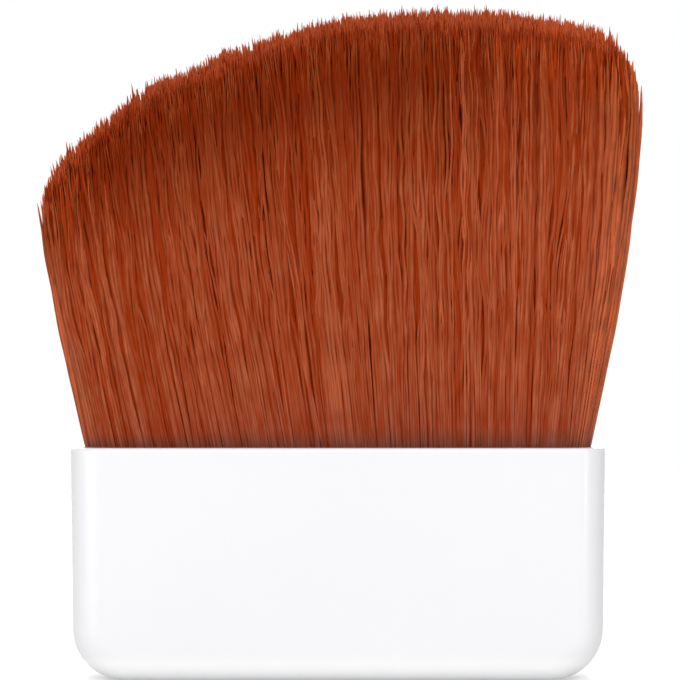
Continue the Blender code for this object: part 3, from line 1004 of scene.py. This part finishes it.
def filament_material():
    """Dyed synthetic filament, with painted shade at the root and below the tip and painted light at the tip
    itself.
    """
    material, tree, shader = new_material("auburn_filament")
    strand = add_node(tree, "ShaderNodeUVMap", uv_map="strand_uv").outputs["UV"]
    parts = add_node(tree, "ShaderNodeSeparateXYZ")
    feed(tree, parts.inputs[0], strand)
    along = parts.outputs["Y"]
    column = math_node(tree, "FLOOR", math_node(tree, "MULTIPLY", parts.outputs["X"], COLUMNS), 0)
    even = math_node(tree, "GREATER_THAN", column, SHADE_COLUMNS - 0.5)
    column = math_node(tree, "SUBTRACT", column, math_node(tree, "MULTIPLY", even, SHADE_COLUMNS))
    shade = math_node(tree, "DIVIDE", column, SHADE_COLUMNS)
    colour = filament_colour(tree, along, even)
    # Tint by the wandering shade: partly the filament's own tone, which varies at random, and partly painted
    # light. The pale stop at 0.82 stands in for sheen, and the stop at 1 for light through the border
    # filaments
    tint = ramp(tree, wandering_painted_light(tree, shade, column, along), [
        (0.00, (0.86, 0.57, 0.29)),
        (0.45, (0.97, 1.00, 1.00)),
        (0.82, (1.10, 1.50, 1.90)),
        (1.00, (2.00, 2.50, 2.65)),
    ])
    # Painted shade: the filaments under the surface are a darker and more saturated red. Painted light:
    # those of the first column have light tips
    deep = math_node(tree, "LESS_THAN", column, DEEP_COLUMNS)
    painted_deep_tint = ramp(tree, along, [
        (0.00, (0.82, 0.50, 0.20)),
        (0.60, (0.82, 0.50, 0.20)),
        (0.85, (0.92, 0.68, 0.34)),
    ])
    painted_tip_light = ramp(tree, along, [
        (0.95, (0.92, 0.68, 0.34)),
        (0.98, (1.35, 1.35, 1.20)),
        (1.00, (1.50, 2.30, 3.60)),
    ])
    first_column = math_node(tree, "LESS_THAN", column, 0.5)
    at_tip = math_node(tree, "GREATER_THAN", along, LIGHT_TIP_START)
    light_tip = math_node(tree, "MULTIPLY", first_column, at_tip)
    painted_deep_tint = mix(tree, "MIX", light_tip, painted_deep_tint, painted_tip_light)
    tint = mix(tree, "MIX", deep, tint, painted_deep_tint)
    feed(tree, shader.inputs["Base Color"], mix(tree, "MULTIPLY", 1.0, colour, tint))
    feed(tree, shader.inputs["Roughness"], 0.38)
    feed(tree, shader.inputs["Specular IOR Level"], 0.02)
    return material


def resin_material():
    """Amber resin with cloudy streaks and small bubbles."""
    material, tree, shader = new_material("amber_resin")
    place = object_place(tree)
    cloud = noise(tree, place, scale=350, detail=4)
    bubbles = noise(tree, place, scale=1400, detail=2)
    colour = ramp(tree, cloud, [(0.3, (0.24, 0.115, 0.03)), (0.7, (0.52, 0.31, 0.11))])
    roughness = grey_ramp(tree, cloud, [(0.3, 0.16), (0.7, 0.34)])
    finish_shader(tree, shader, colour, roughness, bump(tree, bubbles, strength=0.3, distance=0.00005))
    return material


def ferrule_material():
    """Drawn aluminium with fine marks along the draw."""
    material, tree, shader = new_material("drawn_aluminium")
    stretch = add_node(tree, "ShaderNodeMapping")
    feed(tree, stretch.inputs["Scale"], (1, 1, 0.04))
    feed(tree, stretch.inputs["Vector"], object_place(tree))
    marks = noise(tree, stretch.outputs[0], scale=4000, detail=3)
    colour = ramp(tree, marks, [(0.3, (0.70, 0.71, 0.73)), (0.7, (0.84, 0.85, 0.86))])
    roughness = grey_ramp(tree, marks, [(0.3, 0.22), (0.7, 0.40)])
    finish_shader(tree, shader, colour, roughness, bump(tree, marks, strength=0.2, distance=0.00002))
    feed(tree, shader.inputs["Metallic"], 1)
    return material


def adhesive_material():
    """Set adhesive, pale and slightly uneven."""
    material, tree, shader = new_material("pale_adhesive")
    cloud = noise(tree, object_place(tree), scale=500, detail=3)
    colour = ramp(tree, cloud, [(0.3, (0.68, 0.62, 0.48)), (0.7, (0.82, 0.79, 0.68))])
    roughness = grey_ramp(tree, cloud, [(0.3, 0.28), (0.7, 0.45)])
    finish_shader(tree, shader, colour, roughness, bump(tree, cloud, strength=0.4, distance=0.00008))
    return material


def dress_piece(piece, material):
    """Give a new piece its material."""
    piece.data.materials.clear()
    piece.data.materials.append(material)


def dress_node(node, material):
    """Give a carried-over node its material."""
    for material_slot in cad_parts[node].material_slots:
        material_slot.material = material


# Studio

def backdrop_factor(tree):
    """1 for the rays that see the backdrop directly, by reflection or through glass."""
    rays = add_node(tree, "ShaderNodeLightPath").outputs
    seen = math_node(tree, "MAXIMUM", rays["Is Camera Ray"], rays["Is Glossy Ray"])
    return math_node(tree, "MAXIMUM", seen, rays["Is Transmission Ray"])


def mix_shaders(tree, factor, first, second):
    """Mix of two shaders, all of the second where the factor is 1."""
    node = add_node(tree, "ShaderNodeMixShader")
    feed(tree, node.inputs[0], factor)
    feed(tree, node.inputs[1], first)
    feed(tree, node.inputs[2], second)
    return node.outputs[0]


def make_world():
    """White backdrop with a lower even light on the object."""
    world = bpy.data.worlds.new("studio")
    bpy.context.scene.world = world
    world.use_nodes = True
    tree = world.node_tree
    tree.nodes.clear()
    output = add_node(tree, "ShaderNodeOutputWorld")
    lights = []
    for strength in (AMBIENT, 1):
        light = add_node(tree, "ShaderNodeBackground")
        feed(tree, light.inputs["Color"], WHITE)
        feed(tree, light.inputs["Strength"], strength)
        lights.append(light.outputs[0])
    feed(tree, output.inputs["Surface"], mix_shaders(tree, backdrop_factor(tree), *lights))


def make_floor():
    """Pale floor that keeps the shadow and fades into the backdrop."""
    work = bmesh.new()
    bmesh.ops.create_circle(work, cap_ends=True, segments=FLOOR_SIDES, radius=FLOOR_RADIUS)
    mesh = bpy.data.meshes.new("floor")
    work.to_mesh(mesh)
    work.free()
    floor = bpy.data.objects.new("floor", mesh)
    bpy.context.scene.collection.objects.link(floor)
    material = bpy.data.materials.new("pale_floor")
    material.use_nodes = True
    tree = material.node_tree
    tree.nodes.clear()
    output = add_node(tree, "ShaderNodeOutputMaterial")
    matt = add_node(tree, "ShaderNodeBsdfDiffuse")
    feed(tree, matt.inputs["Color"], FLOOR_COLOUR)
    shine = add_node(tree, "ShaderNodeEmission")
    feed(tree, shine.inputs["Strength"], math_node(tree, "MULTIPLY", backdrop_factor(tree), FLOOR_GLOW))
    both = add_node(tree, "ShaderNodeAddShader")
    feed(tree, both.inputs[0], matt.outputs[0])
    feed(tree, both.inputs[1], shine.outputs[0])
    length = add_node(tree, "ShaderNodeVectorMath", operation="LENGTH")
    feed(tree, length.inputs[0], add_node(tree, "ShaderNodeNewGeometry").outputs["Position"])
    fade = smooth_range(tree, length.outputs["Value"], FLOOR_FADE_START, FLOOR_FADE_END)
    clear = add_node(tree, "ShaderNodeBsdfTransparent")
    feed(tree, output.inputs["Surface"], mix_shaders(tree, fade, both.outputs[0], clear.outputs[0]))
    floor.data.materials.append(material)


def make_lamp(name, azimuth, elevation, width, height, power):
    """Area lamp aimed at the brush. Azimuth 0 is in front, and grows to the right."""
    data = bpy.data.lights.new(name, "AREA")
    data.shape = "RECTANGLE"
    data.size = width
    data.size_y = height
    data.energy = power
    lamp = bpy.data.objects.new(name, data)
    turn = math.radians(azimuth)
    tilt = math.radians(elevation)
    x = LAMP_DISTANCE * math.sin(turn) * math.cos(tilt)
    y = -LAMP_DISTANCE * math.cos(turn) * math.cos(tilt)
    lamp.location = (x, y, LAMP_AIM_HEIGHT + LAMP_DISTANCE * math.sin(tilt))
    lamp.rotation_euler = (math.pi / 2 - tilt, 0, turn)
    bpy.context.scene.collection.objects.link(lamp)


def make_camera():
    """Camera straight in front, with a long lens, framed as the photograph is."""
    lens = 200
    sensor = 36
    # The view is this wide at the depth of the handle's outline
    view_width = 0.05348
    outline_y = -0.0023
    aside = 0.000157
    height = 0.02674
    data = bpy.data.cameras.new("camera")
    data.lens = lens
    data.sensor_width = sensor
    data.clip_start = 0.01
    camera = bpy.data.objects.new("camera", data)
    camera.location = (aside, outline_y - view_width * lens / sensor, height)
    camera.rotation_euler = (math.pi / 2, 0, 0)
    bpy.context.scene.collection.objects.link(camera)
    bpy.context.scene.camera = camera


make_camera()
make_world()
make_floor()
for lamp_settings in LAMPS:
    make_lamp(*lamp_settings)

dress_piece(make_handle(), handle_material())
root_slice = make_slice()
amber = resin_material()
dress_piece(root_slice, amber)
make_filaments(filament_material())
dress_node("root_resin", amber)
dress_node("tuft_ferrule", ferrule_material())
dress_node("adhesive_bead", adhesive_material())

bpy.context.scene.view_settings.view_transform = "Standard"
